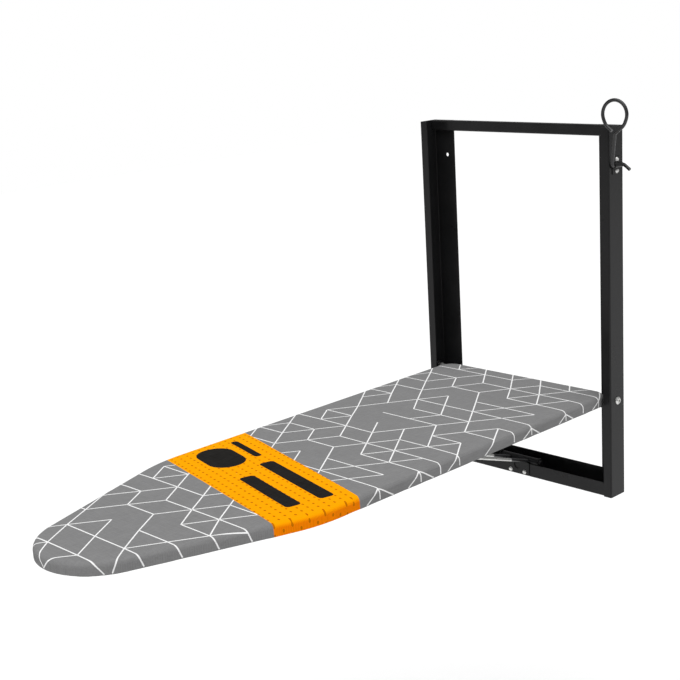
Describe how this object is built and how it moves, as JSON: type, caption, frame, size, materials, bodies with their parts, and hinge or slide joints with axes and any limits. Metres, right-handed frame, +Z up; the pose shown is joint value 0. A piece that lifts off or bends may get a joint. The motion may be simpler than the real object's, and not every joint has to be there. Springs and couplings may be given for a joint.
{
  "type": "wall-mounted folding ironing board",
  "caption": "Padded ironing board that folds down from a flat steel wall frame onto a hinged strut, with a swinging wire cord holder at the frame's top corner.",
  "frame": {"origin": "on the wall plane, at the centre of the four wall-screw holes", "axes": "+X to the right seen from the room, +Y into the wall, +Z up; the open board reaches out along -Y"},
  "size_m": [0.4436, 1.0084, 0.67],
  "materials": {
    "black_steel": "gloss black powder coat",
    "black_wire": "satin black coated wire",
    "zinc": "bright zinc plate",
    "galvanised": "grey painted sheet steel",
    "nylon": "moulded black nylon",
    "foam": "open-cell foam",
    "cover_cloth": "grey printed cotton with white lines and an orange band",
    "elastic": "woven elastic",
    "buffer_rubber": "black rubber"
  },
  "bodies": {
    "wall_frame": {"left_upright": "black_steel", "right_upright": "black_steel", "top_bar": "black_steel", "bottom_bar": "black_steel", "strut_bracket": "black_steel", "bracket_rivets": "zinc", "pivot_cradle": "black_steel", "strut_pin": "black_steel", "pin_clip": "black_steel", "cord_clip": "black_steel", "clip_rivets": "zinc", "pivot_bolt_left": "zinc", "pivot_bolt_right": "zinc", "pivot_spacer_left": "nylon", "pivot_spacer_right": "nylon", "pivot_nut_left": "zinc", "pivot_nut_right": "zinc"},
    "board": {"hinge_arm_left": "black_steel", "hinge_arm_right": "black_steel", "hinge_crossbar": "black_steel", "arm_rivets": "zinc", "board_panel": "galvanised", "foam_pad": "foam", "cover": "cover_cloth", "hem_elastic": "elastic", "guide_riser": "galvanised", "strut_guide": "galvanised", "guide_rivets": "zinc", "stop_buffer": "buffer_rubber"},
    "strut": {"foot_tube": "black_steel", "strut_rod_left": "zinc", "strut_rod_right": "zinc", "top_axle": "zinc", "glide_left": "nylon", "glide_right": "nylon"},
    "holder": {"cord_holder": "black_wire"}
  },
  "joints": [
    {"name": "board_fold", "type": "hinge", "parent": "wall_frame", "child": "board", "pos_m": [0, -0.0205, -0.1435], "axis": [-1, 0, 0], "range_deg": [0, 90]},
    {"name": "strut_swing", "type": "hinge", "parent": "wall_frame", "child": "strut", "pos_m": [0, -0.029, -0.286], "axis": [-1, 0, 0], "range_deg": [0, 69.25]},
    {"name": "cord_holder_swing", "type": "hinge", "parent": "wall_frame", "child": "holder", "pos_m": [0.20325, -0.02, 0.25], "axis": [0, 1, 0], "range_deg": [0, 50]}
  ],
  "couplings": [
    {"joint": "strut_swing", "follows": "board_fold", "ratio": 0.76719}
  ]
}
